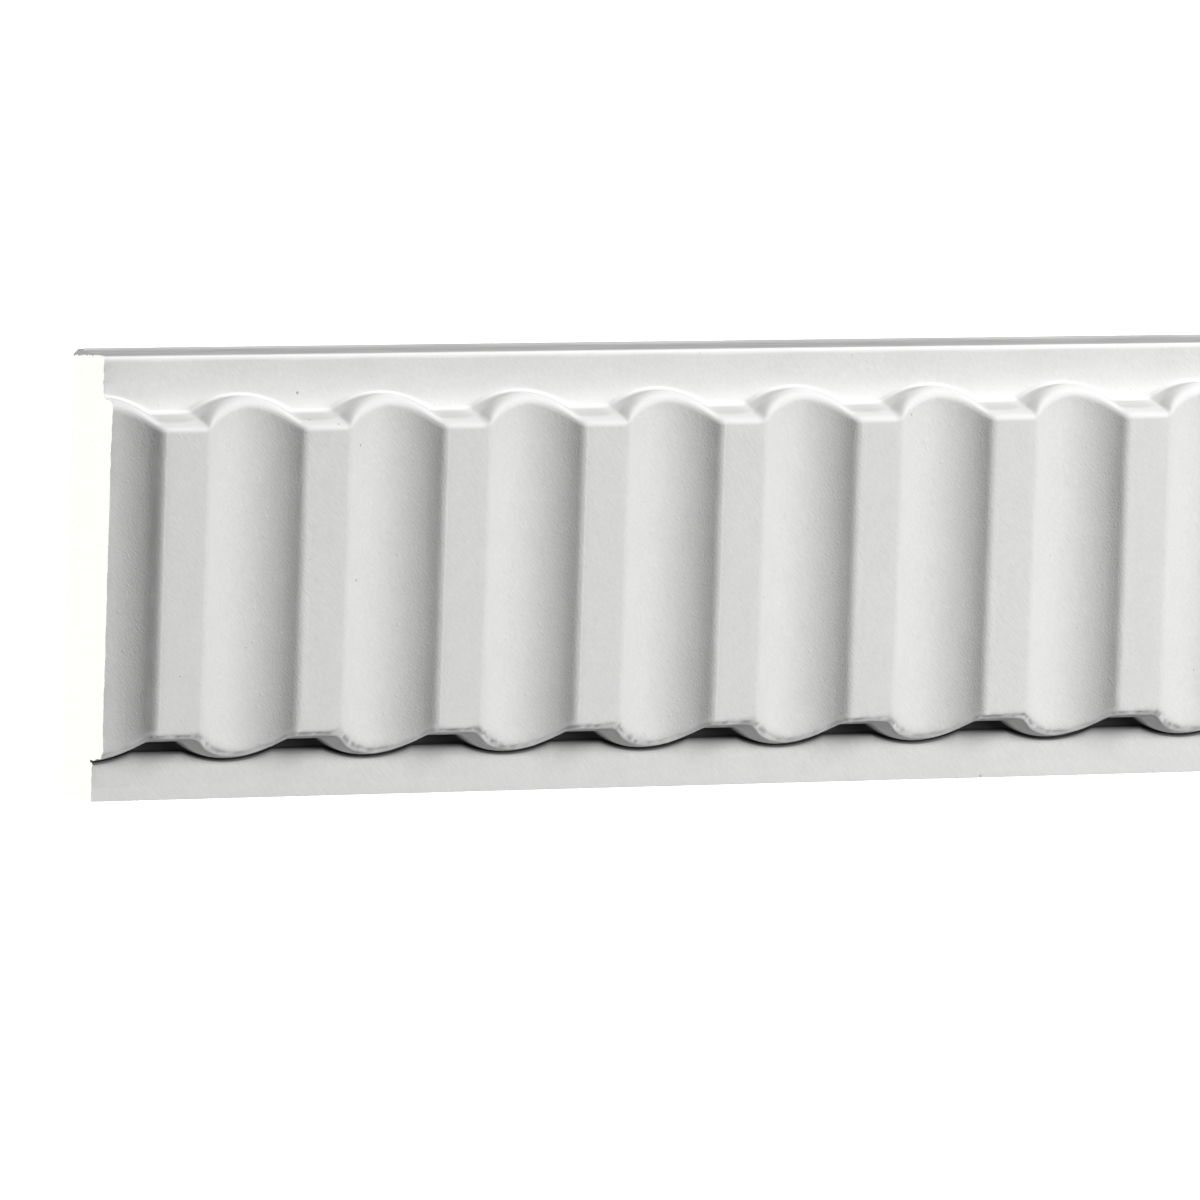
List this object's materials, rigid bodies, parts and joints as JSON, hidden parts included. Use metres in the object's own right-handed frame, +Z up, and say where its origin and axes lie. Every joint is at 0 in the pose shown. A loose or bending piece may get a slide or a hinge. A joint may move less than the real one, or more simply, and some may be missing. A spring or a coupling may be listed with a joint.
{
  "type": "frieze moulding",
  "caption": "Straight cast frieze moulding with upright concave flutes between flat fillets on a raised scalloped slab, below a plain cove and above a plain band, glued flat to a wall.",
  "frame": {"origin": "on the flat back face, at mid-length and mid-height", "axes": "+X along the moulding to the viewer's right, +Y into the wall, the fluted front faces -Y, +Z up"},
  "size_m": [0.986, 0.0364, 0.152],
  "materials": {
    "primed_polyurethane": "factory primer, satin-matte white, over moulded foam"
  },
  "bodies": {
    "root": {"frieze_moulding": "primed_polyurethane"}
  },
  "joints": []
}
